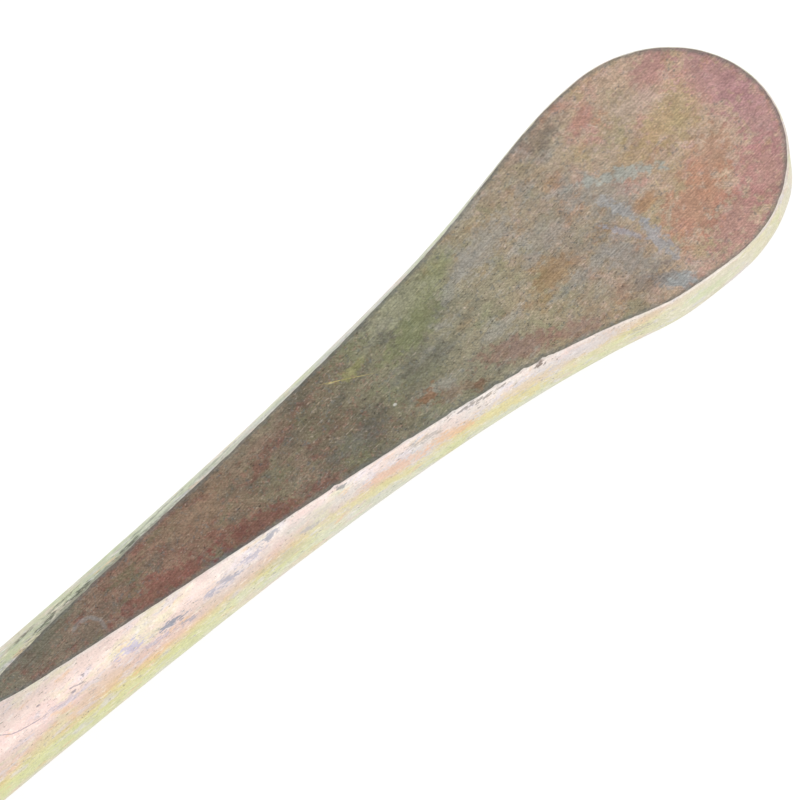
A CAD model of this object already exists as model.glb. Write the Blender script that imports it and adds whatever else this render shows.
"""Tyre lever: a zinc-plated forging with a moulded grip sleeve, lying on a pale studio table."""

import logging
import math
from bisect import bisect_left
from dataclasses import dataclass
from enum import Enum

import bmesh
import bpy
from mathutils import Matrix, Vector, noise


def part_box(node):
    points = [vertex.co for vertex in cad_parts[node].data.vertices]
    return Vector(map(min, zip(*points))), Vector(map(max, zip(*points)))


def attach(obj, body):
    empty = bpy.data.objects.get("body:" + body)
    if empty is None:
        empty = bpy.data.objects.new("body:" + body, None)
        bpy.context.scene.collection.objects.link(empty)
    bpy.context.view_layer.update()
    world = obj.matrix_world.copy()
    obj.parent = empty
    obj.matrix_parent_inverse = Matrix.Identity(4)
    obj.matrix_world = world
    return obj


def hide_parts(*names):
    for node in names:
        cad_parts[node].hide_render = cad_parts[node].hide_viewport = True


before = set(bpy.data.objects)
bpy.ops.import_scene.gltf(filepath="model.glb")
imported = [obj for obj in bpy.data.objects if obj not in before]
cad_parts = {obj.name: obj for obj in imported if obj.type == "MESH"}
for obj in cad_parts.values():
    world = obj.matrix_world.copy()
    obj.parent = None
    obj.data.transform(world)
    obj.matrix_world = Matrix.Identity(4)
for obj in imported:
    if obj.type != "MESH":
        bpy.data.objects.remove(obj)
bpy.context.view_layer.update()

MM = 0.001
ROOT = "root"
# How far apart the marks of the two walls are laid, and where a mark's soft edge starts and ends
SIDE_SPREAD = 50.0
MARK_EDGE = (1.15, 0.45)
# Length of a rounded corner's arc, as a multiple of its rounding
CORNER_ARC = 1.6
log = logging.getLogger("tyre_lever")


def srgb(colour: str) -> tuple[float, float, float, float]:
    """Turn an sRGB hex colour into linear RGBA.

    Args:
        colour: six hex digits with a leading #.

    Returns:
        Linear red, green and blue, with an alpha of 1.
    """
    parts = [int(colour[i:i + 2], 16) / 255 for i in (1, 3, 5)]
    linear = [p / 12.92 if p <= 0.04045 else ((p + 0.055) / 1.055) ** 2.4 for p in parts]
    return (*linear, 1.0)


def lerp(start: float, end: float, share: float) -> float:
    """Return the value a share of the way from start to end."""
    return start + (end - start) * share


def smoothstep(value: float, low: float, high: float) -> float:
    """Return 0 below low, 1 above high and a smooth S between them."""
    share = min(max((value - low) / (high - low), 0.0), 1.0)
    return share * share * (3 - 2 * share)


def add_node(
    tree: bpy.types.NodeTree,
    kind: str,
    inputs: dict[str | int, object] | None = None,
    **settings: object,
) -> bpy.types.Node:
    """Add one shader node with its settings and links.

    Args:
        tree: the node tree that gets the node.
        kind: the node's Blender type.
        inputs: socket name or number to a plain value, or to an output socket to link from.
        settings: node properties; stops is a list of (position, hex colour) for a colour ramp.

    Returns:
        The new node.
    """
    node = tree.nodes.new(kind)
    stops = settings.pop("stops", None)
    for name, value in settings.items():
        setattr(node, name, value)
    if stops:
        elements = node.color_ramp.elements
        while len(elements) < len(stops):
            elements.new(0.5)
        for element, (position, colour) in zip(elements, stops):
            element.position = position
            element.color = srgb(colour)
    for key, value in (inputs or {}).items():
        if isinstance(value, bpy.types.NodeSocket):
            tree.links.new(value, node.inputs[key])
        else:
            node.inputs[key].default_value = value
    return node


def place_in_mm(tree: bpy.types.NodeTree) -> bpy.types.NodeSocket:
    """Return the object coordinates in millimetres."""
    source = add_node(tree, "ShaderNodeTexCoord")
    return add_node(tree, "ShaderNodeVectorMath", {
        0: source.outputs["Object"], "Scale": 1 / MM}, operation="SCALE").outputs[0]


def skin_parts(tree: bpy.types.NodeTree) -> bpy.types.bpy_prop_collection:
    """Return the forging's own coordinates: gap to the flat's corner, facing angle and side."""
    skin = add_node(tree, "ShaderNodeAttribute", attribute_name="skin")
    return add_node(tree, "ShaderNodeSeparateXYZ", {0: skin.outputs["Vector"]}).outputs


def ring_edges(mesh: bmesh.types.BMesh, ring: list[bmesh.types.BMVert]) -> list[bmesh.types.BMEdge]:
    """Return the edges of a closed ring of points, in order."""
    return [mesh.edges.get((v, ring[(k + 1) % len(ring)])) for k, v in enumerate(ring)]


def grow_ring(mesh: bmesh.types.BMesh, ring: list[bmesh.types.BMVert]) -> list[bmesh.types.BMVert]:
    """Extrude a closed ring.

    Args:
        mesh: the mesh that is growing.
        ring: its last ring of points.

    Returns:
        The new ring, point for point in the old one's order.
    """
    grown = bmesh.ops.extrude_edge_only(mesh, edges=ring_edges(mesh, ring))["geom"]
    fresh = {g for g in grown if isinstance(g, bmesh.types.BMVert)}
    return [next(e.other_vert(v) for e in v.link_edges if e.other_vert(v) in fresh) for v in ring]


def make_object(
    name: str, mesh: bmesh.types.BMesh, materials: tuple[bpy.types.Material, ...],
) -> bpy.types.Object:
    """Turn a mesh into a linked object.

    Args:
        name: the object's name.
        mesh: its shape, which is freed.
        materials: its finishes, in the order of its faces' material numbers.

    Returns:
        The object, at the origin.
    """
    data = bpy.data.meshes.new(name)
    mesh.to_mesh(data)
    mesh.free()
    for material in materials:
        data.materials.append(material)
    thing = bpy.data.objects.new(name, data)
    bpy.context.scene.collection.objects.link(thing)
    return thing


def dress(piece: bpy.types.Object, node: str) -> bpy.types.Object:
    """Put a piece on the lever's body in place of its CAD node.

    Args:
        piece: the finished piece.
        node: the CAD node that it replaces.

    Returns:
        The piece.
    """
    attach(piece, ROOT)
    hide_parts(node)
    return piece


class Slot(Enum):
    """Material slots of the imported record."""

    STEEL = "zinc_plated_steel"
    GRIP = "grip_pvc"


class Face(Enum):
    """Material numbers on the forging's mesh."""

    SKIN = 0
    GROUND = 1


@dataclass(frozen=True)
class Grain:
    """An all-over texture: it lightens and darkens the colour and lifts the surface. Millimetres."""

    size: float
    swing: float
    depth: float
    stretch: tuple[float, float, float] = (1.0, 1.0, 1.0)
    turn: float = 0.0
    detail: float = 3.0

    def level(self, tree: bpy.types.NodeTree, coords: bpy.types.NodeSocket) -> bpy.types.NodeSocket:
        """Return the texture's level, around 0.5."""
        placed = add_node(tree, "ShaderNodeMapping", {
            "Vector": coords,
            "Rotation": (0.0, 0.0, math.radians(self.turn)),
            "Scale": tuple(self.size * s for s in self.stretch),
        }, vector_type="TEXTURE")
        return add_node(tree, "ShaderNodeTexNoise", {
            "Vector": placed.outputs[0], "Scale": 1.0, "Detail": self.detail, "Roughness": 0.6,
        }).outputs[0]


@dataclass(frozen=True)
class CornerLine:
    """A ragged line that follows the flat's corner. Sizes are millimetres from the corner."""

    outer: float
    inner: float
    strength: float
    colour: str
    ragged: float
    torn_size: float

    def mask(self, tree: bpy.types.NodeTree, coords: bpy.types.NodeSocket) -> bpy.types.NodeSocket:
        """Return how strongly the line shows.

        Args:
            tree: the material's nodes.
            coords: object coordinates in millimetres.

        Returns:
            A mask from 0 to the strength.
        """
        gap = skin_parts(tree)[0]
        torn = Grain(self.torn_size, 0, 0, detail=5.0).level(tree, coords)
        moved = add_node(tree, "ShaderNodeMath", {
            0: torn, 1: self.ragged, 2: gap}, operation="MULTIPLY_ADD")
        middle = self.ragged / 2
        return add_node(tree, "ShaderNodeMapRange", {
            "Value": moved.outputs[0], "From Min": middle + self.outer, "From Max": middle + self.inner,
            "To Min": 0.0, "To Max": self.strength,
        }, interpolation_type="SMOOTHSTEP").outputs[0]


@dataclass(frozen=True)
class Patches:
    """Soft-edged patches of one colour scattered over a finish. Sizes are millimetres."""

    colour: str
    size: float
    strength: float
    start: float = 0.5
    full: float = 0.62
    stretch: tuple[float, float, float] = (1.0, 1.0, 1.0)
    turn: float = 0.0
    shift: float = 0.0
    zone: tuple[float, float] | None = None
    fade: float = 16.0

    def mask(
        self, tree: bpy.types.NodeTree, coords: bpy.types.NodeSocket, tip_x: float,
    ) -> bpy.types.NodeSocket:
        """Return how strongly the patches show.

        Args:
            tree: the material's nodes.
            coords: object coordinates in millimetres.
            tip_x: the spoon tip's place along the lever.

        Returns:
            A mask from 0 to the strength.
        """
        placed = add_node(tree, "ShaderNodeMapping", {
            "Vector": coords,
            "Location": (self.shift, 3 * self.shift, 7 * self.shift),
            "Rotation": (0.0, 0.0, math.radians(self.turn)),
            "Scale": tuple(self.size * s for s in self.stretch),
        }, vector_type="TEXTURE")
        cloud = add_node(tree, "ShaderNodeTexNoise", {
            "Vector": placed.outputs[0], "Scale": 1.0, "Detail": 5.0, "Roughness": 0.65})
        mask = add_node(tree, "ShaderNodeMapRange", {
            "Value": cloud.outputs[0], "From Min": self.start, "From Max": self.full,
            "To Min": 0.0, "To Max": self.strength,
        }, interpolation_type="SMOOTHSTEP").outputs[0]
        if self.zone is None:
            return mask
        along = add_node(tree, "ShaderNodeSeparateXYZ", {0: coords}).outputs[0]
        for edge, inward in ((self.zone[0], -1), (self.zone[1], 1)):
            middle = tip_x - edge
            fade = add_node(tree, "ShaderNodeMapRange", {
                "Value": along, "From Min": middle - inward * self.fade / 2,
                "From Max": middle + inward * self.fade / 2,
            }, interpolation_type="SMOOTHSTEP")
            mask = add_node(
                tree, "ShaderNodeMath", {0: mask, 1: fade.outputs[0]}, operation="MULTIPLY").outputs[0]
        return mask


@dataclass(frozen=True)
class Mark:
    """One oval stain or scratch with a ragged edge. Sizes are millimetres, the turn is degrees."""

    from_tip: float
    across: float
    half_length: float
    half_width: float
    turn: float
    colour: str
    strength: float
    ragged: float = 0.9
    dent: float = 0.0
    side: float = 0.0

    def mask(
        self, tree: bpy.types.NodeTree, coords: bpy.types.NodeSocket, tip_x: float,
        torn: bpy.types.NodeSocket,
    ) -> bpy.types.NodeSocket:
        """Return how strongly the mark shows.

        Args:
            tree: the material's nodes.
            coords: coordinates in millimetres: along, across, and the wall's side times its spread.
            tip_x: the spoon tip's place along the lever.
            torn: a texture around 0.5 that breaks up the edge.

        Returns:
            A mask from 0 to the strength.
        """
        placed = add_node(tree, "ShaderNodeMapping", {
            "Vector": coords,
            "Location": (tip_x - self.from_tip, self.across, self.side * SIDE_SPREAD),
            "Rotation": (0.0, 0.0, math.radians(self.turn)),
            "Scale": (self.half_length, self.half_width, SIDE_SPREAD / 3),
        }, vector_type="TEXTURE")
        away = add_node(tree, "ShaderNodeVectorMath", {0: placed.outputs[0]}, operation="LENGTH")
        ragged = add_node(tree, "ShaderNodeMath", {
            0: torn, 1: 3 * self.ragged, 2: away.outputs[1]}, operation="MULTIPLY_ADD")
        middle = 1.5 * self.ragged
        return add_node(tree, "ShaderNodeMapRange", {
            "Value": ragged.outputs[0], "From Min": middle + MARK_EDGE[0], "From Max": middle + MARK_EDGE[1],
            "To Min": 0.0, "To Max": self.strength,
        }, interpolation_type="SMOOTHSTEP").outputs[0]


@dataclass(frozen=True)
class Finish:
    """A procedural finish: layers of patches and marks, then grain in the colour and the bump."""

    name: str
    roughness: float
    roughness_swing: float
    metallic: float
    bump: float
    grains: tuple[Grain, ...]
    patches: tuple[Patches, ...] = ()
    marks: tuple[Mark, ...] = ()
    torn: Grain = Grain(1.1, 0, 0, detail=6.0)
    tip_x: float = 0.0

    def base(self, tree: bpy.types.NodeTree, coords: bpy.types.NodeSocket) -> bpy.types.NodeSocket:
        """Return the colour under the patches and the marks."""
        raise NotImplementedError

    def mark_coords(
        self, tree: bpy.types.NodeTree, coords: bpy.types.NodeSocket,
    ) -> bpy.types.NodeSocket:
        """Return the coordinates that the marks are placed by, with no height."""
        return add_node(
            tree, "ShaderNodeVectorMath", {0: coords, 1: (1.0, 1.0, 0.0)}, operation="MULTIPLY").outputs[0]

    def edge(
        self, tree: bpy.types.NodeTree, coords: bpy.types.NodeSocket, under: bpy.types.NodeSocket,
    ) -> bpy.types.NodeSocket:
        """Return the colour with the wear along the flat's corner added."""
        return under

    def paint(self, tree: bpy.types.NodeTree, coords: bpy.types.NodeSocket) -> bpy.types.NodeSocket:
        """Return the colour of the base with every patch, mark and edge on it.

        Args:
            tree: the material's nodes.
            coords: object coordinates in millimetres.

        Returns:
            The colour before the grain.
        """
        colour = self.base(tree, coords)
        for layer in self.patches:
            colour = add_node(tree, "ShaderNodeMix", {
                0: layer.mask(tree, coords, self.tip_x), 6: colour, 7: srgb(layer.colour),
            }, data_type="RGBA").outputs[2]
        if self.marks:
            torn = self.torn.level(tree, coords)
            flattened = self.mark_coords(tree, coords)
            for mark in self.marks:
                colour = add_node(tree, "ShaderNodeMix", {
                    0: mark.mask(tree, flattened, self.tip_x, torn), 6: colour, 7: srgb(mark.colour),
                }, data_type="RGBA").outputs[2]
        return self.edge(tree, coords, colour)

    def make(self) -> bpy.types.Material:
        """Build the material.

        Returns:
            The material, with its colour, roughness and bump joined to the shader.
        """
        material = bpy.data.materials.new(self.name)
        material.use_nodes = True
        tree = material.node_tree
        shader = tree.nodes["Principled BSDF"]
        shader.inputs["Metallic"].default_value = self.metallic
        coords = place_in_mm(tree)
        colour = self.paint(tree, coords)
        height = None
        for grain in self.grains:
            level = grain.level(tree, coords)
            shade = add_node(tree, "ShaderNodeMapRange", {
                "Value": level, "From Min": 0.25, "From Max": 0.75,
                "To Min": 1 - grain.swing, "To Max": 1 + grain.swing,
            })
            colour = add_node(tree, "ShaderNodeVectorMath", {
                0: colour, "Scale": shade.outputs[0]}, operation="SCALE").outputs[0]
            lifted = {0: level, 1: grain.depth * MM}
            if height is not None:
                lifted[2] = height
            height = add_node(tree, "ShaderNodeMath", lifted, operation="MULTIPLY_ADD").outputs[0]
        bump = add_node(tree, "ShaderNodeBump", {"Height": height, "Strength": self.bump, "Distance": 1.0})
        cloud = Grain(2.2, 0, 0, detail=5.0).level(tree, coords)
        rough = add_node(tree, "ShaderNodeMapRange", {
            "Value": cloud, "From Min": 0.3, "From Max": 0.7,
            "To Min": self.roughness - self.roughness_swing, "To Max": self.roughness + self.roughness_swing,
        })
        tree.links.new(colour, shader.inputs["Base Color"])
        tree.links.new(rough.outputs[0], shader.inputs["Roughness"])
        tree.links.new(bump.outputs[0], shader.inputs["Normal"])
        return material


@dataclass(frozen=True)
class GroundChromate(Finish):
    """Yellow-chromate zinc plate over a ground face.

    It is matt and mostly grey-brown, because the grinding marks hold a thick uneven chromate film. The
    film is pink and ochre on the spoon, grey-olive on the neck and dark red-brown where the face runs out.
    """

    stops: tuple[tuple[float, str], ...] = ()
    stops_length: float = 150.0
    wander: float = 26.0
    border: CornerLine = CornerLine(0.935, 0.11, 0.62, "#787a76", ragged=1.5, torn_size=0.9)

    def base(self, tree: bpy.types.NodeTree, coords: bpy.types.NodeSocket) -> bpy.types.NodeSocket:
        """Return the film's colour, which changes along the face.

        Args:
            tree: the material's nodes.
            coords: object coordinates in millimetres.

        Returns:
            The colour, with its bands wandering to and fro along the lever.
        """
        along = add_node(tree, "ShaderNodeSeparateXYZ", {0: coords}).outputs[0]
        level = Grain(9.0, 0, 0).level(tree, coords)
        wandered = add_node(tree, "ShaderNodeMath", {
            0: level, 1: self.wander, 2: along}, operation="MULTIPLY_ADD")
        start = self.tip_x + self.wander / 2
        share = add_node(tree, "ShaderNodeMapRange", {
            "Value": wandered.outputs[0], "From Min": start, "From Max": start - self.stops_length})
        return add_node(
            tree, "ShaderNodeValToRGB", {0: share.outputs[0]}, stops=list(self.stops)).outputs[0]

    def edge(
        self, tree: bpy.types.NodeTree, coords: bpy.types.NodeSocket, under: bpy.types.NodeSocket,
    ) -> bpy.types.NodeSocket:
        """Return the colour with the thin slate line that follows the flat's corner."""
        return add_node(tree, "ShaderNodeMix", {
            0: self.border.mask(tree, coords), 6: under, 7: srgb(self.border.colour),
        }, data_type="RGBA").outputs[2]


@dataclass(frozen=True)
class ForgedChromate(Finish):
    """Yellow-chromate zinc plate over the smooth forged skin.

    It is bright and pearly: the thin film turns from pink-white through peach to yellow-green round the
    bar, with fine drawn streaks, blue-grey scuffs and worn white metal on the flat's corner.
    """

    near_stops: tuple[tuple[float, str], ...] = ()
    far_stops: tuple[tuple[float, str], ...] = ()
    wander: float = 34.0
    swirls: tuple[tuple[Grain, float], ...] = (
        (Grain(11.0, 0, 0, (3.0, 1.0, 1.0)), 1.0), (Grain(2.0, 0, 0, (7.0, 0.6, 0.6)), 0.55))
    worn: CornerLine = CornerLine(0.484, 0.088, 0.35, "#f8efe8", ragged=1.6, torn_size=1.6)

    def base(self, tree: bpy.types.NodeTree, coords: bpy.types.NodeSocket) -> bpy.types.NodeSocket:
        """Return the film's colour, which changes round the bar and differs from side to side.

        Args:
            tree: the material's nodes.
            coords: object coordinates in millimetres.

        Returns:
            The colour, from straight up at the start of the stops to straight down at their end.
        """
        _, angle, facing = skin_parts(tree)
        for grain, swing in self.swirls:
            level = grain.level(tree, coords)
            angle = add_node(tree, "ShaderNodeMath", {
                0: level, 1: swing * self.wander, 2: angle}, operation="MULTIPLY_ADD").outputs[0]
        middle = 0.5 * sum(swing for _, swing in self.swirls) * self.wander
        share = add_node(tree, "ShaderNodeMapRange", {
            "Value": angle, "From Min": middle, "From Max": 180 + middle}).outputs[0]
        near = add_node(tree, "ShaderNodeValToRGB", {0: share}, stops=list(self.near_stops))
        far = add_node(tree, "ShaderNodeValToRGB", {0: share}, stops=list(self.far_stops))
        side = add_node(tree, "ShaderNodeMapRange", {
            "Value": facing, "From Min": -0.7, "From Max": 0.7})
        return add_node(tree, "ShaderNodeMix", {
            0: side.outputs[0], 6: far.outputs[0], 7: near.outputs[0]}, data_type="RGBA").outputs[2]

    def mark_coords(
        self, tree: bpy.types.NodeTree, coords: bpy.types.NodeSocket,
    ) -> bpy.types.NodeSocket:
        """Return the unrolled wall: along the lever, down from the flat's corner, and the side."""
        gap, _, facing = skin_parts(tree)
        along = add_node(tree, "ShaderNodeSeparateXYZ", {0: coords}).outputs[0]
        side = add_node(tree, "ShaderNodeMath", {0: facing, 1: SIDE_SPREAD}, operation="MULTIPLY")
        return add_node(tree, "ShaderNodeCombineXYZ", {0: along, 1: gap, 2: side.outputs[0]}).outputs[0]

    def edge(
        self, tree: bpy.types.NodeTree, coords: bpy.types.NodeSocket, under: bpy.types.NodeSocket,
    ) -> bpy.types.NodeSocket:
        """Return the colour with bare white metal where the flat's near corner is worn.

        Args:
            tree: the material's nodes.
            coords: object coordinates in millimetres.
            under: the colour before wear.

        Returns:
            The worn colour.
        """
        line = self.worn.mask(tree, coords)
        across = add_node(tree, "ShaderNodeSeparateXYZ", {0: coords}).outputs[1]
        near = add_node(tree, "ShaderNodeMapRange", {
            "Value": across, "From Min": 1.0, "From Max": -5.0}, interpolation_type="SMOOTHSTEP")
        worn = add_node(tree, "ShaderNodeMath", {0: line, 1: near.outputs[0]}, operation="MULTIPLY")
        return add_node(tree, "ShaderNodeMix", {
            0: worn.outputs[0], 6: under, 7: srgb(self.worn.colour)}, data_type="RGBA").outputs[2]


@dataclass(frozen=True)
class MouldedPvc(Finish):
    """Moulded PVC: charcoal and matt, with a fine spark-eroded grain and faint dusty scuffs."""

    colour: str = "#2b2c2e"
    cool: str = "#34363a"

    def base(self, tree: bpy.types.NodeTree, coords: bpy.types.NodeSocket) -> bpy.types.NodeSocket:
        """Return the plastic's colour, a little cooler in places."""
        cloud = Grain(18.0, 0, 0, detail=4.0).level(tree, coords)
        return add_node(tree, "ShaderNodeValToRGB", {0: cloud}, stops=[
            (0.35, self.colour), (0.65, self.cool)]).outputs[0]


# Stains, scuffs and scratches on the flat face, by distance from the spoon's tip and across
GROUND_MARKS = (
    Mark(13.0, 6.0, 8.0, 5.0, 20, "#b8a67e", 0.6, 1.3),
    Mark(19.5, 11.0, 6.0, 3.6, 30, "#aaa07e", 0.55, 1.3),
    Mark(22.0, 3.5, 6.0, 3.0, 10, "#b79c78", 0.45, 1.3),
    Mark(4.5, 5.7, 4.5, 7.5, 10, "#b98d90", 0.65, 1.3),
    Mark(3.8, -4.0, 3.8, 8.0, 0, "#b98f91", 0.6, 1.3),
    Mark(8.5, -12.0, 7.0, 5.0, 60, "#b98a88", 0.65, 1.3),
    Mark(17.0, -15.5, 7.5, 4.0, 25, "#b98a85", 0.6, 1.3),
    Mark(20.0, -9.0, 7.0, 4.6, 20, "#ba8a72", 0.6, 1.3),
    Mark(13.5, -4.5, 5.5, 3.4, 40, "#ba9078", 0.55, 1.3),
    Mark(11.5, 14.0, 5.0, 3.0, 30, "#bd948c", 0.6, 1.3),
    Mark(17.0, 11.0, 5.5, 2.6, -20, "#c6b0a4", 0.6, 1.3),
    Mark(24.5, 14.5, 3.5, 1.5, 20, "#b0817a", 0.6, 0.7),
    Mark(29.0, 1.5, 6.0, 4.5, -60, "#9f9b94", 0.5, 1.4),
    Mark(33.0, -8.0, 7.0, 3.0, -70, "#9c9893", 0.5, 1.4),
    Mark(24.9, 2.8, 6.8, 1.3, -30, "#adaea6", 0.9, 1.1),
    Mark(28.6, -2.2, 5.0, 1.1, -72, "#aaa9a8", 0.8, 1.2),
    Mark(27.4, -9.8, 5.4, 1.1, -88, "#a9a8aa", 0.8, 1.2),
    Mark(30.8, -5.0, 4.0, 0.6, -60, "#a8a5ac", 0.7, 0.9),
    Mark(29.6, -17.0, 4.0, 1.8, -45, "#a0a5a6", 0.85, 0.8),
    Mark(25.5, -3.6, 2.6, 1.6, 10, "#b48a62", 0.6, 0.7),
    Mark(17.5, -0.5, 1.5, 0.09, 12, "#d8c8b0", 0.8, 0.2),
    Mark(15.4, 0.9, 1.1, 0.08, -48, "#d8c6ae", 0.8, 0.2),
    Mark(14.2, 2.4, 0.8, 0.09, 40, "#d4c29e", 0.7, 0.2),
    Mark(12.6, -1.2, 1.2, 0.08, -70, "#d6c3ad", 0.7, 0.2),
    Mark(16.0, -3.4, 0.9, 0.08, 20, "#d2bca4", 0.7, 0.2),
    Mark(11.0, 4.6, 0.7, 0.08, 60, "#d0be9a", 0.6, 0.2),
    Mark(23.5, 12.6, 1.3, 0.12, -60, "#d2bcae", 0.7, 0.3),
    Mark(22.0, -2.0, 0.8, 0.10, 80, "#d4c09a", 0.7, 0.3),
    Mark(43.0, -3.0, 4.4, 2.6, 10, "#a38460", 0.6, 0.8),
    Mark(40.0, 3.0, 5.0, 3.0, 10, "#a59f97", 0.5, 0.8),
    Mark(48.0, 8.0, 7.0, 3.2, 14, "#a8a49c", 0.65, 0.8),
    Mark(54.2, -9.4, 7.5, 2.2, -20, "#967468", 0.6, 1.2),
    Mark(46.0, -13.0, 5.0, 1.6, -24, "#9c7d72", 0.5, 1.2),
    Mark(58.0, 9.5, 6.0, 2.2, 12, "#989a74", 0.6, 0.7),
    Mark(63.7, 4.7, 6.0, 3.4, 20, "#878c66", 0.65, 0.7),
    Mark(67.0, -2.0, 6.0, 2.6, 10, "#7b7b6c", 0.45, 1.2),
    Mark(69.2, -6.3, 2.0, 1.4, 10, "#8f6a50", 0.7, 1.3),
    Mark(62.4, -10.3, 1.3, 0.8, 20, "#7f5a46", 0.6, 1.3),
    Mark(65.5, -8.6, 4.4, 1.2, -16, "#886e5c", 0.5, 1.3),
    Mark(76.9, 4.7, 4.7, 0.10, -30, "#bbae78", 0.85, 0.12),
    Mark(78.8, 5.7, 1.4, 0.12, -24, "#c4b886", 0.7, 0.2),
    Mark(75.4, 5.2, 2.6, 1.1, 0, "#9a9868", 0.6, 1.2),
    Mark(73.9, -3.9, 0.35, 0.3, 0, "#d9d6cc", 0.9, 0.2),
    Mark(70.0, 3.0, 2.6, 1.6, 0, "#868a64", 0.5, 1.3),
    Mark(82.0, -5.0, 6.0, 2.2, -8, "#716f6a", 0.5, 1.3),
    Mark(96.0, -8.3, 6.0, 0.9, -11, "#757a7b", 0.6, 1.2),
    Mark(108.0, -6.5, 4.5, 1.0, -9, "#757b7c", 0.7, 1.2),
    Mark(121.0, 5.6, 20.0, 0.8, 7.5, "#76786a", 0.7, 0.7),
    Mark(138.0, 1.8, 8.0, 2.0, 8, "#767668", 0.6, 0.9),
    Mark(94.0, 6.2, 8.0, 2.4, 8, "#968876", 0.6, 1.2),
    Mark(108.0, 3.2, 9.0, 2.4, 5, "#94806c", 0.5, 1.2),
    Mark(64.0, 9.0, 7.0, 2.6, 12, "#a6a48c", 0.65, 1.2),
    Mark(31.0, 16.5, 5.0, 2.4, 14, "#857668", 0.55, 1.3),
    Mark(33.0, -14.5, 5.0, 2.0, -14, "#8a786c", 0.5, 1.3),
    Mark(9.0, 16.0, 5.5, 2.6, 34, "#b58c88", 0.55, 1.3),
    Mark(118.0, -3.6, 9.0, 2.2, -4, "#84524c", 0.55, 1.2),
    Mark(101.0, -5.6, 8.0, 2.4, -8, "#824f4a", 0.55, 1.2),
    Mark(128.7, -2.3, 1.3, 0.42, 85, "#958e8a", 0.65, 0.25),
    Mark(129.1, -0.6, 1.3, 0.46, -55, "#98928e", 0.7, 0.25),
    Mark(130.5, 0.4, 1.3, 0.46, -15, "#98928e", 0.7, 0.25),
    Mark(132.2, 0.3, 1.2, 0.42, 25, "#938c88", 0.6, 0.25),
    Mark(131.1, -2.1, 1.9, 1.5, 0, "#7d7163", 0.6),
)

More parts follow.
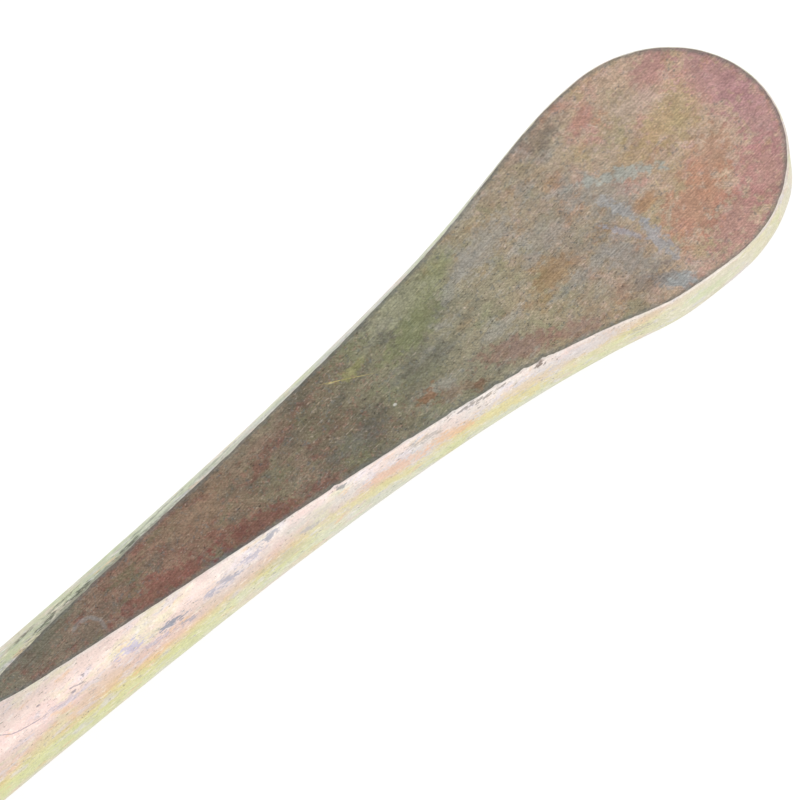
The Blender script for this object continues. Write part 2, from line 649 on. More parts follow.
# Film bands, scuffs and cracks on the walls, by distance from the tip and down from the flat's
# corner. The last number is 1 for the near (-Y) wall and -1 for the far one.
WALL_MARKS = (
    Mark(27.0, 2.4, 5.0, 1.1, 0, "#d3d9b4", 0.7, 1.3, 0.0, 1),
    Mark(46.5, 1.5, 6.0, 1.0, 0, "#ddd8d8", 0.6, 1.3, 0.0, 1),
    Mark(57.0, 2.4, 6.0, 0.9, 0, "#e5d0ae", 0.65, 1.3, 0.0, 1),
    Mark(63.0, 3.9, 12.0, 1.1, 0, "#dfd39c", 0.75, 1.2, 0.0, 1),
    Mark(70.0, 3.0, 4.5, 0.8, 3, "#e8c3a0", 0.75, 1.2, 0.0, 1),
    Mark(80.0, 2.9, 6.0, 1.0, 3, "#e8c3ac", 0.75, 1.2, 0.0, 1),
    Mark(84.0, 4.4, 9.0, 1.0, 3, "#e0d6a0", 0.65, 1.2, 0.0, 1),
    Mark(92.0, 1.8, 6.0, 0.9, 0, "#d6cdc6", 0.6, 1.3, 0.0, 1),
    Mark(101.0, 5.4, 5.0, 1.0, 0, "#cdc6ac", 0.6, 1.3, 0.0, 1),
    Mark(101.0, 0.8, 1.8, 0.42, -8, "#9a9ca8", 0.75, 1.7, 0.02, 1),
    Mark(105.0, 2.0, 2.2, 0.50, -5, "#b4b1bf", 0.7, 1.8, 0.03, 1),
    Mark(110.0, 2.8, 1.9, 0.46, 3, "#a8a8b6", 0.7, 1.8, 0.03, 1),
    Mark(113.6, 3.3, 1.5, 0.50, 0, "#aeadbb", 0.7, 1.8, 0.03, 1),
    Mark(121.0, 3.8, 2.8, 0.50, -4, "#8f94a2", 0.85, 1.5, 0.05, 1),
    Mark(118.6, 5.0, 1.8, 0.36, 6, "#a9a8b4", 0.7, 1.8, 0.04, 1),
    Mark(127.6, 3.5, 2.6, 0.85, 0, "#bfb9d2", 0.75, 1.8, 0.03, 1),
    Mark(124.6, 5.0, 2.2, 0.42, 0, "#b9b3c4", 0.6, 1.9, 0.03, 1),
    Mark(141.0, 5.0, 4.0, 0.45, -2, "#c2b8c4", 0.55, 1.9, 0.02, 1),
    Mark(148.5, 5.4, 8.0, 0.10, -3, "#9d929c", 0.8, 0.55, 0.05, 1),
    Mark(137.5, 3.8, 1.6, 0.14, 8, "#a0959a", 0.7, 1.2, 0.04, 1),
    Mark(136.0, 2.8, 0.5, 0.20, 20, "#8d858c", 0.75, 0.9, 0.06, 1),
    Mark(138.4, 4.3, 0.6, 0.18, 0, "#8d858c", 0.75, 0.9, 0.06, 1),
    Mark(144.0, 3.2, 0.4, 0.20, 0, "#8d858c", 0.75, 0.9, 0.06, 1),
    Mark(151.0, 2.0, 0.4, 0.20, 0, "#8d858c", 0.75, 0.9, 0.06, 1),
    Mark(96.0, 3.4, 1.8, 0.34, 3, "#b9b4be", 0.6, 1.9, 0.02, 1),
    Mark(88.0, 0.6, 0.9, 0.32, -3, "#8b8c8e", 0.75, 1.4, 0.03, 1),
    Mark(74.0, 1.3, 3.0, 0.4, 0, "#aea8a2", 0.65, 2.0, 0.02, 1),
    Mark(64.0, 0.5, 4.0, 0.35, 0, "#8e857e", 0.75, 2.0, 0.02, 1),
    Mark(53.4, 0.5, 0.8, 0.4, 0, "#7c6d64", 0.85, 1.4, 0.04, 1),
    Mark(38.0, 2.4, 2.0, 0.5, 0, "#b9b2a8", 0.6, 2.0, 0.02, 1),
    Mark(100.0, 1.2, 6.0, 0.35, 2, "#8f9084", 0.7, 2.0, 0.03, -1),
    Mark(112.0, 1.8, 6.0, 0.40, 2, "#85877a", 0.75, 2.0, 0.03, -1),
    Mark(126.0, 0.1, 20.0, 0.40, 0, "#777a68", 0.6, 0.9, 0.03, -1),
    Mark(128.0, 0.7, 3.0, 0.40, 0, "#606256", 0.85, 1.4, 0.04, -1),
    Mark(135.0, 0.9, 3.4, 0.40, 4, "#606256", 0.8, 1.4, 0.04, -1),
    Mark(118.0, 0.6, 2.4, 0.35, 0, "#66685c", 0.8, 1.4, 0.04, -1),
    Mark(131.0, 2.2, 3.0, 0.35, 0, "#6b655a", 0.8, 1.9, 0.04, -1),
    Mark(139.0, 2.6, 2.4, 0.35, 0, "#6b655a", 0.8, 1.9, 0.04, -1),
)


def ground_finish(tip_x: float) -> GroundChromate:
    """Return the finish of the flat working face. Its grinding lines are about 0.2 mm apart."""
    lengthwise = (14.0, 1.0, 1.0)
    return GroundChromate(
        name="yellow_chromate_zinc_ground",
        roughness=0.54,
        roughness_swing=0.1,
        metallic=0.9,
        bump=0.5,
        tip_x=tip_x,
        stops=(
            (0.00, "#c19e95"), (0.06, "#c5ac98"), (0.14, "#c3ab96"), (0.19, "#b8a792"),
            (0.23, "#a89a89"), (0.31, "#ab9c83"), (0.38, "#a09a84"), (0.46, "#8d8973"),
            (0.54, "#7f7663"), (0.62, "#887a69"), (0.70, "#927c68"), (0.80, "#927868"),
            (0.90, "#8b7d6d"), (1.00, "#8a8473"),
        ),
        patches=(
            Patches("#bb8886", 6.0, 0.55, 0.47, 0.66, zone=(-10, 34)),
            Patches("#b5a67c", 5.0, 0.45, 0.49, 0.66, shift=31, zone=(-10, 36)),
            Patches("#b9886c", 3.6, 0.45, 0.52, 0.68, shift=53, zone=(-10, 42)),
            Patches("#c6b0a4", 1.6, 0.50, 0.52, 0.64, shift=71, zone=(-10, 50)),
            Patches("#8d9270", 8.0, 0.45, 0.48, 0.64, shift=87, zone=(34, 96)),
            Patches("#a5845f", 5.0, 0.45, 0.52, 0.64, (1.6, 1.0, 1.0), 6, 23, zone=(30, 60)),
            Patches("#a8a6a0", 3.0, 0.50, 0.50, 0.62, (2.0, 1.0, 1.0), 8, 41, zone=(26, 72)),
            Patches("#66665e", 3.0, 0.50, 0.50, 0.64, (1.6, 1.0, 1.0), 6, 47, zone=(56, 160)),
            Patches("#875650", 3.0, 0.50, 0.50, 0.62, (1.8, 1.0, 1.0), 4, 61, zone=(82, 170)),
            Patches("#7c7a60", 3.6, 0.55, 0.52, 0.64, (2.0, 1.0, 1.0), 4, 97, zone=(78, 170)),
            Patches("#a07468", 0.7, 0.42, 0.54, 0.64, shift=13, zone=(70, 170)),
            Patches("#757a7a", 0.7, 0.55, 0.55, 0.66, shift=17),
            Patches("#d0c0b0", 0.36, 0.50, 0.58, 0.68, (3.0, 1.0, 1.0), 8, 29, zone=(-10, 90)),
            Patches("#504a44", 0.42, 0.70, 0.57, 0.67, (1.5, 1.0, 1.0), 8, 37, zone=(30, 170)),
            Patches("#b5a898", 0.38, 0.60, 0.58, 0.68, (1.5, 1.0, 1.0), 8, 59, zone=(70, 170)),
        ),
        marks=GROUND_MARKS,
        grains=(
            Grain(0.27, 0.28, 0.010, (1.2, 1.0, 1.0), 0.0, 2.0),
            Grain(0.20, 0.22, 0.010, lengthwise, 8.0, 2.0),
            Grain(0.20, 0.14, 0.008, lengthwise, -38.0, 2.0),
            Grain(1.4, 0.10, 0.012, (1.5, 1.0, 1.0), 8.0),
            Grain(6.0, 0.10, 0.020),
        ),
    )


def forged_finish(tip_x: float) -> ForgedChromate:
    """Return the finish of the forging's walls, shank and pry tip."""
    drawn = (9.0, 1.0, 1.0)
    return ForgedChromate(
        name="yellow_chromate_zinc_forged",
        roughness=0.43,
        roughness_swing=0.08,
        metallic=1.0,
        bump=0.6,
        tip_x=tip_x,
        torn=Grain(0.30, 0, 0, (3.6, 0.8, 0.8), detail=3.0),
        near_stops=(
            (0.00, "#d6cec6"), (0.08, "#e4d3cb"), (0.16, "#ead5cc"), (0.24, "#ecd6cd"), (0.31, "#e5cfc4"),
            (0.35, "#e2c8b2"), (0.38, "#e0c49e"), (0.41, "#ddd09c"), (0.47, "#d8d8a4"), (0.58, "#d5d7ac"),
            (0.65, "#cbd0ba"), (0.76, "#dac4a0"), (0.88, "#d8bda6"), (1.00, "#cbc196"),
        ),
        far_stops=(
            (0.00, "#d6d3c4"), (0.13, "#bcc2ac"), (0.24, "#c0c8a8"), (0.36, "#c3caa0"), (0.48, "#c6ccac"),
            (0.60, "#dcd09c"), (0.72, "#e0c49a"), (0.86, "#dcc0aa"), (1.00, "#cdc396"),
        ),
        patches=(
            Patches("#ded7c8", 6.0, 0.80, 0.20, 0.50, (2.0, 1.0, 1.0), shift=91, zone=(-30, 40), fade=30),
            Patches("#d8d8d3", 5.0, 0.65, 0.32, 0.60, (3.0, 1.0, 1.0), shift=101, zone=(46, 112), fade=26),
            Patches("#e9cbc6", 5.0, 0.45, 0.50, 0.66, (2.5, 0.8, 0.8)),
            Patches("#dcdfb0", 4.0, 0.45, 0.50, 0.66, (3.0, 0.8, 0.8), shift=21),
            Patches("#e8c29a", 2.4, 0.50, 0.57, 0.67, (2.6, 0.7, 0.7), shift=43, zone=(50, 520)),
            Patches("#d8d4de", 2.0, 0.50, 0.53, 0.65, (3.0, 0.7, 0.7), shift=57),
            Patches("#f4ece2", 0.7, 0.50, 0.54, 0.66, (2.5, 0.7, 0.7), shift=63),
            Patches("#b0aab0", 0.55, 0.55, 0.58, 0.68, (2.2, 0.6, 0.6), shift=67, zone=(56, 520)),
            Patches("#8f887e", 0.42, 0.75, 0.61, 0.67, (2.2, 0.6, 0.6), shift=73, zone=(30, 520)),
            Patches("#7d7670", 0.36, 0.75, 0.66, 0.71, (1.6, 0.7, 0.7), shift=83),
        ),
        marks=WALL_MARKS,
        grains=(
            Grain(0.28, 0.10, 0.012, detail=2.0),
            Grain(0.26, 0.05, 0.014, drawn, 0.0, 2.0),
            Grain(1.0, 0.05, 0.03, (2.5, 1.0, 1.0)),
            Grain(7.0, 0.03, 0.10, (2.0, 1.0, 1.0)),
        ),
    )


def grip_finish() -> MouldedPvc:
    """Return the finish of the grip sleeve. The grain is drawn at twice its real 0.15 mm to show."""
    return MouldedPvc(
        name="moulded_pvc_charcoal",
        roughness=0.62,
        roughness_swing=0.08,
        metallic=0.0,
        bump=0.7,
        patches=(
            Patches("#3d3e40", 6.0, 0.5, 0.52, 0.68, (2.0, 1.0, 1.0)),
            Patches("#515254", 0.7, 0.35, 0.62, 0.72, (6.0, 1.0, 1.0), shift=19),
        ),
        grains=(Grain(0.30, 0.10, 0.05), Grain(3.0, 0.05, 0.05)),
    )


@dataclass(frozen=True)
class Oval:
    """A squared-off oval section of the forging, in millimetres about the shank's axis."""

    half_width: float
    top: float
    bottom: float
    widest: float
    squareness: float

    def point(self, angle: float) -> tuple[float, float]:
        """Return a point of the section.

        Args:
            angle: radians above the widest level, from straight down to straight up.

        Returns:
            (reach, height).
        """
        sine = math.sin(angle)
        rise = math.copysign(abs(sine) ** (2 / self.squareness), sine)
        span = self.top - self.widest if rise > 0 else self.widest - self.bottom
        reach = self.half_width * max(math.cos(angle), 0.0) ** (2 / self.squareness)
        return reach, self.widest + span * rise

    def corner_angle(self, height: float) -> float:
        """Return where the section reaches a height.

        Args:
            height: millimetres above the shank's axis.

        Returns:
            The angle, or a quarter turn if the height is above the section.
        """
        if height >= self.top:
            return math.pi / 2
        share = max(height - self.widest, 0.0) / (self.top - self.widest)
        return math.asin(share ** (self.squareness / 2))


@dataclass(frozen=True)
class Station:
    """One ring of the forging: its oval, where it stands and which way its halves face."""

    oval: Oval
    x: float
    z: float = 0.0
    tilt: float = 0.0
    fan: float = math.pi / 2
    has_flat: bool = True


@dataclass(frozen=True)
class Chip:
    """A small break in the flat's near corner, in millimetres."""

    from_tip: float
    depth: float
    half_length: float


@dataclass(frozen=True)
class RingPoint:
    """One point of a half ring: where it is, how far it is from the flat's corner, and its face."""

    reach: float
    height: float
    gap: float
    on_flat: bool


@dataclass
class ForgedLever:
    """The one-piece forging: flat spoon, neck, round shank and bent pry tip. Sizes are millimetres."""

    node: str = "lever_forging"
    shank_radius: float = 9.0
    spoon_radius: float = 21.0
    neck_end: float = 166.0
    neck_fullness: float = 43.0
    neck_leanness: float = 47.0
    spoon_underside: float = -4.4
    spoon_crown: float = 6.0
    spoon_widest_level: float = -2.0
    spoon_squareness: float = 3.0
    deepening: tuple[float, float] = (2.0, 66.0)
    levelling: tuple[float, float] = (20.0, 90.0)
    rounding_off: tuple[float, float] = (15.0, 60.0)
    flat_tip_height: float = -0.1
    flat_run_out: float = 149.0
    bend_start: float = 410.0
    bend_radius: float = 110.0
    bend_angle: float = math.radians(24)
    tail_half_width: float = 13.0
    tail_half_thickness: float = 2.2
    tail_corner: float = 6.0
    tail_edge_round: float = 1.2
    tail_end_thickness: float = 0.45
    tail_squareness: float = 3.2
    tail_rings: int = 70
    tail_corner_rings: int = 18
    neck_corner_round: float = 0.12
    near_spoon_round: float = 0.28
    far_spoon_round: float = 0.16
    far_neck_round: float = 0.28
    near_fullness: float = 0.5
    near_fullest: float = 33.0
    near_fullness_run: float = 6.0
    tip_bevel: float = 0.42
    tip_bevel_turns: tuple[float, float] = (22.0, 52.0)
    tip_bevel_reach: tuple[float, float] = (4.0, 16.0)
    run_out_dip: float = 0.16
    run_out_dip_start: float = 128.0
    corner_narrowing: tuple[float, float] = (12.0, 46.0)
    far_neck_run: tuple[float, float] = (60.0, 85.0)
    corner_swing: float = 0.35
    corner_nicks: float = 0.12
    far_tears: float = 0.3
    far_tears_run: tuple[float, float] = (90.0, 130.0)
    forged_wave: float = 0.07
    forged_pitting: float = 0.035
    ground_wave: float = 0.02
    side_blend: float = 2.5
    fan_rings: int = 56
    neck_rings: int = 230
    shank_rings: int = 80
    flat_cells: int = 18
    corner_cells: int = 4
    wall_cells: int = 56
    wall_samples: int = 600
    chips: tuple[Chip, ...] = (
        Chip(52.7, 0.40, 0.40), Chip(51.6, 0.22, 0.5), Chip(55.9, 0.24, 0.5), Chip(60.6, 0.20, 0.45),
        Chip(68.2, 0.22, 0.5), Chip(76.2, 0.20, 0.5), Chip(88.9, 0.26, 0.5),
    )
    length: float = 500.0
    tip_x: float = 0.0
    axis_z: float = 0.0

    def __post_init__(self) -> None:
        """Take the tip and the shank's height from the frame."""
        low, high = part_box(self.node)
        grip_low, grip_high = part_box("grip_sleeve")
        self.tip_x = high[0] / MM
        self.length = (high[0] - low[0]) / MM
        self.axis_z = (grip_low[2] + grip_high[2]) / 2 / MM

    def flat_height(self, from_tip: float) -> float:
        """Return the flat face's height, with the slight dip at its run-out.

        Args:
            from_tip: distance back from the spoon's tip.

        Returns:
            The height above the shank's axis.
        """
        slope = (self.shank_radius - self.flat_tip_height) / self.flat_run_out
        dip = self.run_out_dip * smoothstep(from_tip, self.run_out_dip_start, self.flat_run_out)
        return self.flat_tip_height + slope * from_tip - dip

    def spoon_oval(self, from_tip: float, half_width: float) -> Oval:
        """Return the section of the spoon or the neck.

        Args:
            from_tip: distance back from the spoon's tip.
            half_width: half the outline's width there.

        Returns:
            The section.
        """
        blend = min(max((from_tip - self.spoon_radius) / (self.neck_end - self.spoon_radius), 0), 1)
        return Oval(
            half_width=half_width,
            top=self.shank_radius - (self.shank_radius - self.spoon_crown) * (1 - blend) ** 2,
            bottom=lerp(self.spoon_underside, -self.shank_radius, smoothstep(from_tip, *self.deepening)),
            widest=self.spoon_widest_level * (1 - smoothstep(from_tip, *self.levelling)),
            squareness=lerp(self.spoon_squareness, 2, smoothstep(from_tip, *self.rounding_off)),
        )

    def neck_outline(self, share: float) -> tuple[float, float]:
        """Return a point of the neck's outline.

        Args:
            share: how far along the curve, from 0 at the spoon to 1 at the shank.

        Returns:
            (distance from the tip, half-width).
        """
        rest = 1 - share
        weights = (rest ** 3, 3 * rest ** 2 * share, 3 * rest * share ** 2, share ** 3)
        along = (self.spoon_radius, self.neck_fullness, self.neck_leanness, self.neck_end)
        across = (self.spoon_radius, self.spoon_radius, self.shank_radius, self.shank_radius)
        return (
            sum(w * a for w, a in zip(weights, along)),
            sum(w * a for w, a in zip(weights, across)),
        )

    def stations(self) -> list[Station]:
        """Lay out the forging.

        Returns:
            Every ring, from the spoon's tip to the pry tip's end.
        """
        rings = []
        for i in range(self.fan_rings):
            turn = math.pi / 2 * i / self.fan_rings
            from_tip = self.spoon_radius * (1 - math.cos(turn))
            rings.append(Station(
                self.spoon_oval(from_tip, self.spoon_radius), self.spoon_radius, fan=turn))
        for i in range(self.neck_rings + 1):
            from_tip, half_width = self.neck_outline(i / self.neck_rings)
            rings.append(Station(self.spoon_oval(from_tip, half_width), from_tip))
        round_bar = Oval(self.shank_radius, self.shank_radius, -self.shank_radius, 0, 2)
        for i in range(1, self.shank_rings):
            rings.append(Station(
                round_bar, lerp(self.neck_end, self.bend_start, i / self.shank_rings), has_flat=False))
        rings.extend(self.tail_stations())
        return rings

    def tail_stations(self) -> list[Station]:
        """Lay out the bend and the pry tip.

        Returns:
            The rings from the start of the bend to the end of the pry tip.
        """
        bend_run = self.bend_radius * self.bend_angle
        reach = self.length - self.bend_start - self.bend_radius * math.sin(self.bend_angle)
        straight = (reach - self.tail_half_thickness * math.sin(self.bend_angle)) / math.cos(self.bend_angle)
        total = bend_run + straight
        count = self.tail_rings
        even = [(total - self.tail_corner) * i / count for i in range(count + 1)]
        count = self.tail_corner_rings
        turns = [math.pi / 2 * i / count for i in range(1, count + 1)]
        corner = [total - self.tail_corner * (1 - math.sin(turn)) for turn in turns]
        rings = []
        for run in even + corner:
            turned = min(run / self.bend_radius, self.bend_angle)
            beyond = max(run - bend_run, 0)
            forged = smoothstep(run, 0.1 * total, 0.9 * total)
            full = lerp(self.shank_radius, self.tail_half_width, forged)
            inset = max(self.tail_corner - (total - run), 0)
            rounding = max(self.tail_edge_round - (total - run), 0) / self.tail_edge_round
            half_thickness = lerp(self.shank_radius, self.tail_half_thickness, forged)
            half_thickness *= lerp(self.tail_end_thickness, 1, math.sqrt(1 - rounding ** 2))
            rings.append(Station(
                Oval(
                    half_width=full - self.tail_corner + math.sqrt(self.tail_corner ** 2 - inset ** 2),
                    top=half_thickness,
                    bottom=-half_thickness,
                    widest=0,
                    squareness=lerp(2, self.tail_squareness, forged),
                ),
                x=self.bend_start + self.bend_radius * math.sin(turned) + beyond * math.cos(self.bend_angle),
                z=self.bend_radius * (1 - math.cos(turned)) + beyond * math.sin(self.bend_angle),
                tilt=turned,
                has_flat=False,
            ))
        return rings

    def corner_round(self, from_tip: float, across: float) -> float:
        """Return how far the flat's corner is rounded off at a place on it.

        Args:
            from_tip: distance back from the spoon's tip.
            across: distance towards +Y.

        Returns:
            The rounding, uneven and deeper at the chips.
        """
        near = smoothstep(-across, -8, 8)
        spoon = lerp(self.far_spoon_round, self.near_spoon_round, near)
        size = lerp(spoon, self.neck_corner_round, smoothstep(from_tip, *self.corner_narrowing))
        size += (1 - near) * self.far_neck_round * smoothstep(from_tip, *self.far_neck_run)
        size *= 1 + self.corner_swing * noise.noise(Vector((from_tip, across, 0)) / 2.6)
        size += self.corner_nicks * max(noise.noise(Vector((from_tip, across, 9)) / 0.8), 0)
        torn = (1 - near) * self.far_tears * smoothstep(from_tip, *self.far_tears_run)
        size += torn * max(noise.noise(Vector((from_tip, across, 5)) / 1.4), 0)
        for chip in self.chips:
            size += near * chip.depth * math.exp(-((from_tip - chip.from_tip) / chip.half_length) ** 2)
        return size

    def half_section(self, station: Station, side: int) -> list[RingPoint]:
        """Return one half of a ring, from the middle of its top round to the middle of its bottom.

        Args:
            station: the ring.
            side: 1 for the +Y half, -1 for the -Y half.

        Returns:
            The flat face's cells, its rounded corner, then even steps of the wall.
        """
        oval = station.oval
        start = math.pi / 2
        rounding = 0.0
        if station.has_flat:
            outline = station.x - self.spoon_radius * math.cos(station.fan)
            start = oval.corner_angle(self.flat_height(outline))
            reach = oval.point(start)[0]
            across = side * reach * math.sin(station.fan)
            rounding = min(self.corner_round(outline, across), 0.4 * reach)
        corner = oval.point(start)
        flat_edge = corner[0] - rounding
        points = []
        for j in range(self.flat_cells + 1):
            reach = flat_edge * (1 - (1 - j / self.flat_cells) ** 1.5)
            points.append(RingPoint(reach, corner[1], flat_edge - reach, True))
        fine = self.wall_samples
        arc = [oval.point(lerp(start, -math.pi / 2, i / fine)) for i in range(fine + 1)]
        run = [0.0]
        for before, after in zip(arc, arc[1:]):
            run.append(run[-1] + math.dist(before, after))

        def wall_point(target: float) -> tuple[float, float]:
            """Return a point of the wall.

            Args:
                target: distance round the wall from the sharp corner.

            Returns:
                (reach, height).
            """
            i = min(max(bisect_left(run, target) - 1, 0), fine - 1)
            share = min(max((target - run[i]) / max(run[i + 1] - run[i], 1e-9), 0), 1)
            return lerp(arc[i][0], arc[i + 1][0], share), lerp(arc[i][1], arc[i + 1][1], share)

        below = wall_point(rounding)
        for j in range(1, self.corner_cells):
            share = j / self.corner_cells
            weights = ((1 - share) ** 2, 2 * share * (1 - share), share ** 2)
            spots = ((flat_edge, corner[1]), corner, below)
            reach, height = (sum(w * s[k] for w, s in zip(weights, spots)) for k in (0, 1))
            points.append(RingPoint(reach, height, CORNER_ARC * rounding * share, False))
        for j in range(self.wall_cells + 1):
            target = lerp(rounding, run[-1], j / self.wall_cells)
            points.append(RingPoint(*wall_point(target), target + (CORNER_ARC - 1) * rounding, False))
        return points

    def wear(self, place: Vector, on_flat: bool, across: float, gap: float) -> float:
        """Return how far the skin lies below its ideal surface at a place, in millimetres.

        Args:
            place: (distance from the tip, Y, height).
            on_flat: True on the ground face.
            across: distance towards +Y, whose sign gives the side.
            gap: distance from the flat's corner.

        Returns:
            The depth, never below zero.
        """
        if on_flat:
            return self.ground_wave * (1 + noise.noise(place / 11)) / 2
        longways = Vector((place.x / 9, place.y / 2.4, place.z / 2.4))
        pits = Vector((place.x / 2.4, place.y / 0.9, place.z / 0.9))
        depth = self.forged_wave * (1 + noise.noise(longways)) / 2
        depth += self.forged_pitting * max(noise.noise(pits), 0)
        for mark in WALL_MARKS:
            if mark.side * across < 0 and abs(place.x - mark.from_tip) < 2 * mark.half_length:
                along = (place.x - mark.from_tip) / mark.half_length
                round_it = (gap - mark.across) / max(mark.half_width, 0.35)
                depth += mark.dent * math.exp(-along ** 2 - round_it ** 2)
        return depth * smoothstep(gap, 0, 1.2)

    def place(self, station: Station, point: RingPoint, side: int) -> Vector:
        """Return a ring point's place in the frame, in metres.

        Args:
            station: the ring.
            point: the point on its half ring.
            side: 1 for the +Y half, -1 for the -Y half.

        Returns:
            The point.
        """
        oval = station.oval
        reach, height = point.reach, point.height
        from_tip = station.x - reach * math.cos(station.fan)
        if station.has_flat and not point.on_flat:
            bevel = self.tip_bevel * (1 - smoothstep(math.degrees(station.fan), *self.tip_bevel_turns))
            sunk = max(self.flat_height(from_tip) - height, 0)
            reach -= bevel * sunk * smoothstep(reach, *self.tip_bevel_reach)
            from_tip = station.x - reach * math.cos(station.fan)
        if point.on_flat and station.has_flat:
            height = min(self.flat_height(from_tip), oval.top)
        elif height < oval.widest:
            local = self.spoon_oval(from_tip, oval.half_width) if station.has_flat else oval
            height = lerp(local.widest, local.bottom, (oval.widest - height) / (oval.widest - oval.bottom))
        across = side * reach * math.sin(station.fan)
        if side < 0 and station.has_flat:
            along = (from_tip - self.near_fullest) / self.near_fullness_run
            across -= self.near_fullness * math.exp(-along ** 2) * reach / oval.half_width
        on_flat = point.on_flat and station.has_flat
        depth = self.wear(Vector((from_tip, across, height)), on_flat, across, point.gap)
        if on_flat:
            height -= depth
        else:
            inward = depth / max(math.hypot(reach, height), 1.0)
            across *= 1 - inward
            height *= 1 - inward
        from_tip -= height * math.sin(station.tilt)
        return Vector((
            self.tip_x - from_tip,
            across,
            self.axis_z + station.z + height * math.cos(station.tilt),
        )) * MM

    def loft(self, mesh: bmesh.types.BMesh) -> None:
        """Grow the forging ring by ring, and note each point's gap to the flat's corner.

        Args:
            mesh: the empty mesh to fill.
        """
        cells = self.flat_cells + self.corner_cells + self.wall_cells
        count = 2 * cells
        skin = mesh.verts.layers.float_vector.new("skin")
        flat = mesh.verts.layers.int.new("flat")
        ring = bmesh.ops.create_circle(mesh, segments=count, radius=1.0)["verts"]
        for number, station in enumerate(self.stations()):
            if number:
                ring = grow_ring(mesh, ring)
            halves = {side: self.half_section(station, side) for side in (-1, 1)}
            for k, vert in enumerate(ring):
                side = -1 if k <= cells else 1
                point = halves[side][k if k <= cells else count - k]
                vert.co = self.place(station, point, side)
                vert[skin] = (point.gap, 0.0, 0.0)
                vert[flat] = int(point.on_flat and station.has_flat)
        bmesh.ops.edgeloop_fill(mesh, edges=ring_edges(mesh, ring))
        bmesh.ops.remove_doubles(mesh, verts=mesh.verts[:], dist=2e-6)
        bmesh.ops.recalc_face_normals(mesh, faces=mesh.faces[:])

    def sort_faces(self, mesh: bmesh.types.BMesh) -> None:
        """Give each face its finish, and note which way the skin faces round the bar.

        Args:
            mesh: the lofted forging.
        """
        skin = mesh.verts.layers.float_vector["skin"]
        flat = mesh.verts.layers.int["flat"]
        mesh.normal_update()
        for face in mesh.faces:
            face.smooth = True
            ground = all(v[flat] for v in face.verts) and face.normal.z > 0.9
            face.material_index = (Face.GROUND if ground else Face.SKIN).value
        for vert in mesh.verts:
            angle = math.degrees(math.acos(min(max(vert.normal.z, -1), 1)))
            side = min(max(-vert.co.y / (self.side_blend * MM), -1), 1)
            vert[skin] = (vert[skin][0], angle, side)
        mesh.verts.layers.int.remove(flat)

    def build(self) -> bpy.types.Object:
        """Loft and dress the forging.

        Returns:
            The piece.
        """
        mesh = bmesh.new()
        self.loft(mesh)
        self.sort_faces(mesh)
        finishes = (forged_finish(self.tip_x).make(), ground_finish(self.tip_x).make())
        return dress(make_object("forged_lever", mesh, finishes), self.node)


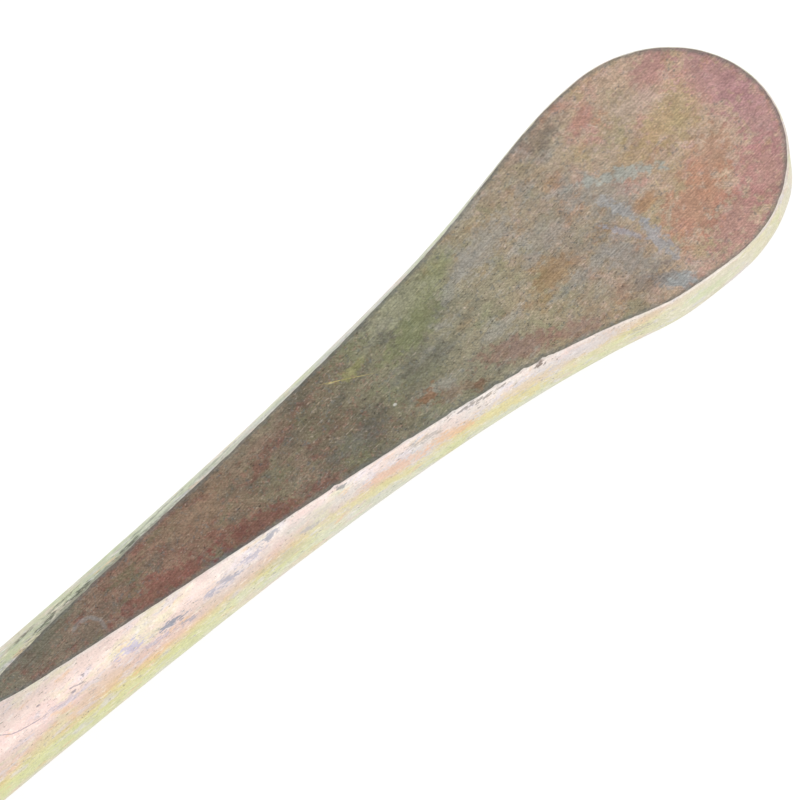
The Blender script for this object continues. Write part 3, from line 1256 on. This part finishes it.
@dataclass
class GripSleeve:
    """The moulded sleeve: a rounded hexagon with padded bands, end lips and a bore. Millimetres."""

    node: str = "grip_sleeve"
    bore_radius: float = 9.3
    corner_radius: float = 4.5
    lip_chamfer: float = 2.0
    groove_count: int = 6
    groove_width: float = 4.0
    groove_depth: float = 1.2
    rib_pitch: float = 2.0
    rib_depth: float = 0.22
    seam_height: float = 0.15
    seam_half_width: float = 0.45
    flat_sides_from: float = math.radians(62)
    bore_rows: tuple[float, ...] = (0.4, 1.0)
    lip_run: tuple[float, float] = (4.5, 5.5)
    skin_allowance: float = 0.02
    step: float = 0.25
    sides: int = 144
    front_x: float = 0.0
    length: float = 0.0
    apothem: float = 0.0
    axis_z: float = 0.0

    def __post_init__(self) -> None:
        """Take the sleeve's ends and height from the frame."""
        low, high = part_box(self.node)
        self.front_x = high[0] / MM
        self.length = (high[0] - low[0]) / MM
        self.apothem = (high[2] - low[2]) / 2 / MM
        self.axis_z = (high[2] + low[2]) / 2 / MM

    def hexagon_reach(self, angle: float) -> float:
        """Return the rounded hexagon's reach, with flats facing up and down.

        Args:
            angle: radians round the axis from +Y.

        Returns:
            The distance from the axis.
        """
        sixth = math.pi / 3
        from_flat = abs(angle - sixth * round((angle - math.pi / 2) / sixth) - math.pi / 2)
        corner_centre = (self.apothem - self.corner_radius) / math.cos(sixth / 2)
        if from_flat <= math.atan2(corner_centre * math.sin(sixth / 2), self.apothem):
            return self.apothem / math.cos(from_flat)
        from_corner = sixth / 2 - from_flat
        side = corner_centre * math.sin(from_corner)
        return corner_centre * math.cos(from_corner) + math.sqrt(self.corner_radius ** 2 - side ** 2)

    def inset(self, along: float) -> float:
        """Return how far the moulding lies inside its full hexagon.

        Args:
            along: distance back from the sleeve's front end.

        Returns:
            The inset of the grooves, the end lips and the fine ribs on the pads.
        """
        pitch = self.length / (self.groove_count + 1)
        from_end = min(along, self.length - along)
        nearest = min(max(round(along / pitch), 1), self.groove_count)
        from_groove = abs(along - pitch * nearest)
        groove = self.groove_depth * (1 - smoothstep(from_groove, 0.5, self.groove_width / 2 + 0.3))
        lip = max(self.lip_chamfer - from_end, 0)
        lip = self.lip_chamfer - math.sqrt(max(self.lip_chamfer ** 2 - lip ** 2, 0))
        on_pad = smoothstep(from_groove, self.groove_width / 2 + 0.6, self.groove_width / 2 + 1.6)
        on_pad *= smoothstep(from_end, *self.lip_run)
        rib = self.rib_depth * on_pad * (0.5 - 0.5 * math.cos(math.tau * along / self.rib_pitch)) ** 3
        return max(groove, lip) + rib

    def outline(self, along: float, angle: float) -> tuple[float, float]:
        """Return a point of the outer skin.

        Args:
            along: distance back from the sleeve's front end.
            angle: radians round the axis from +Y.

        Returns:
            (Y, height) from the axis.
        """
        reach = self.hexagon_reach(angle) - self.inset(along) - self.seam_height
        across = abs(reach * math.sin(angle))
        seam = self.seam_height * max(1 - (across / self.seam_half_width) ** 2, 0)
        flat_side = abs(math.cos(angle)) < math.cos(self.flat_sides_from)
        reach += self.seam_height - self.skin_allowance if flat_side else seam
        return reach * math.cos(angle), reach * math.sin(angle)

    def build(self) -> bpy.types.Object:
        """Loft the outer skin and the bore as one closed tube, and dress it.

        Returns:
            The piece.
        """
        mesh = bmesh.new()
        steps = round(self.length / self.step)
        rows = [("skin", self.length * i / steps) for i in range(steps + 1)]
        rows += [("bore", self.length - inward) for inward in self.bore_rows]
        rows += [("bore", inward) for inward in reversed(self.bore_rows)]
        ring = bmesh.ops.create_circle(mesh, segments=self.sides, radius=1.0)["verts"]
        first = ring
        for number, (face, along) in enumerate(rows):
            if number:
                ring = grow_ring(mesh, ring)
            for k, vert in enumerate(ring):
                angle = math.tau * k / self.sides
                across, height = self.outline(along, angle)
                if face == "bore":
                    across, height = self.bore_radius * math.cos(angle), self.bore_radius * math.sin(angle)
                vert.co = Vector((self.front_x - along, across, self.axis_z + height)) * MM
        bmesh.ops.bridge_loops(mesh, edges=ring_edges(mesh, first) + ring_edges(mesh, ring))
        bmesh.ops.recalc_face_normals(mesh, faces=mesh.faces[:])
        for face in mesh.faces:
            face.smooth = True
        sleeve = make_object("moulded_grip_sleeve", mesh, (grip_finish().make(),))
        return dress(sleeve, self.node)


@dataclass
class Studio:
    """A pale glowing table, low soft lights and the camera. Sizes are metres unless named."""

    lean_across: float = math.radians(28.4)
    lean_back: float = math.radians(1.5)
    roll: float = math.radians(40.15)
    aim_from_tip: float = 72.75 * MM
    aim_across: float = -1.30 * MM
    frame_width: float = 120.846 * MM
    distance: float = 1.3
    sensor: float = 36.0
    table_size: float = 6.0
    table_glow: float = 0.84
    lamp_size: float = 1.2
    lamp_power: float = 3.0
    lamp_place: tuple[float, float, float] = (0.2, -1.6, 1.0)

    def camera(self, tip_x: float, axis_z: float) -> None:
        """Put the camera above the spoon, leaning to the near side and towards the shank.

        Args:
            tip_x: the spoon tip's place along the lever, in millimetres.
            axis_z: the shank's height, in millimetres.
        """
        towards = Vector((
            -math.sin(self.lean_back),
            -math.cos(self.lean_back) * math.sin(self.lean_across),
            math.cos(self.lean_back) * math.cos(self.lean_across),
        ))
        along = Vector((1, 0, 0))
        along = (along - along.dot(towards) * towards).normalized()
        across = towards.cross(along)
        right = math.cos(self.roll) * along - math.sin(self.roll) * across
        up = math.sin(self.roll) * along + math.cos(self.roll) * across
        aim = Vector((tip_x * MM - self.aim_from_tip, 0, axis_z * MM)) + across * self.aim_across
        data = bpy.data.cameras.new("camera")
        data.sensor_width = self.sensor
        data.lens = self.sensor * self.distance / self.frame_width
        camera = bpy.data.objects.new("camera", data)
        turn = Matrix((right, up, towards)).transposed().to_4x4()
        camera.matrix_world = Matrix.Translation(aim + towards * self.distance) @ turn
        bpy.context.scene.collection.objects.link(camera)
        bpy.context.scene.camera = camera

    def table(self) -> None:
        """Make the pale table."""
        mesh = bmesh.new()
        bmesh.ops.create_grid(mesh, x_segments=1, y_segments=1, size=self.table_size)
        material = bpy.data.materials.new("table_white")
        material.use_nodes = True
        shader = material.node_tree.nodes["Principled BSDF"]
        shader.inputs["Base Color"].default_value = srgb("#888888")
        shader.inputs["Roughness"].default_value = 0.8
        shader.inputs["Emission Color"].default_value = srgb("#ffffff")
        shader.inputs["Emission Strength"].default_value = self.table_glow
        make_object("table", mesh, (material,))

    def lamp(self) -> None:
        """Add the one square soft light, turned to the origin."""
        data = bpy.data.lights.new("near_light", "AREA")
        data.size = self.lamp_size
        data.energy = self.lamp_power
        lamp = bpy.data.objects.new("near_light", data)
        lamp.location = self.lamp_place
        lamp.rotation_euler = (-Vector(self.lamp_place)).to_track_quat("-Z", "Y").to_euler()
        bpy.context.scene.collection.objects.link(lamp)

    def build(self, tip_x: float, axis_z: float) -> None:
        """Build the whole studio.

        Args:
            tip_x: the spoon tip's place along the lever, in millimetres.
            axis_z: the shank's height, in millimetres.
        """
        self.camera(tip_x, axis_z)
        self.table()
        world = bpy.data.worlds.new("studio")
        world.use_nodes = True
        tree = world.node_tree
        way = add_node(tree, "ShaderNodeTexCoord").outputs["Generated"]
        rise = add_node(tree, "ShaderNodeSeparateXYZ", {0: way}).outputs[2]
        sky = add_node(tree, "ShaderNodeValToRGB", {0: rise}, stops=[
            (0.0, "#ececec"), (0.5, "#f4f4f4"), (0.9, "#ffffff")])
        tree.links.new(sky.outputs[0], tree.nodes["Background"].inputs["Color"])
        tree.nodes["Background"].inputs["Strength"].default_value = 1.0
        bpy.context.scene.world = world
        self.lamp()
        bpy.context.scene.view_settings.view_transform = "Standard"


def main() -> None:
    """Build every piece, then the studio round them."""
    logging.basicConfig(level=logging.INFO, format="%(message)s")
    lever = ForgedLever()
    for piece in (lever.build(), GripSleeve().build()):
        log.info("%s: %d faces", piece.name, len(piece.data.polygons))
    Studio().build(lever.tip_x, lever.axis_z)


if __name__ == "__main__":
    main()
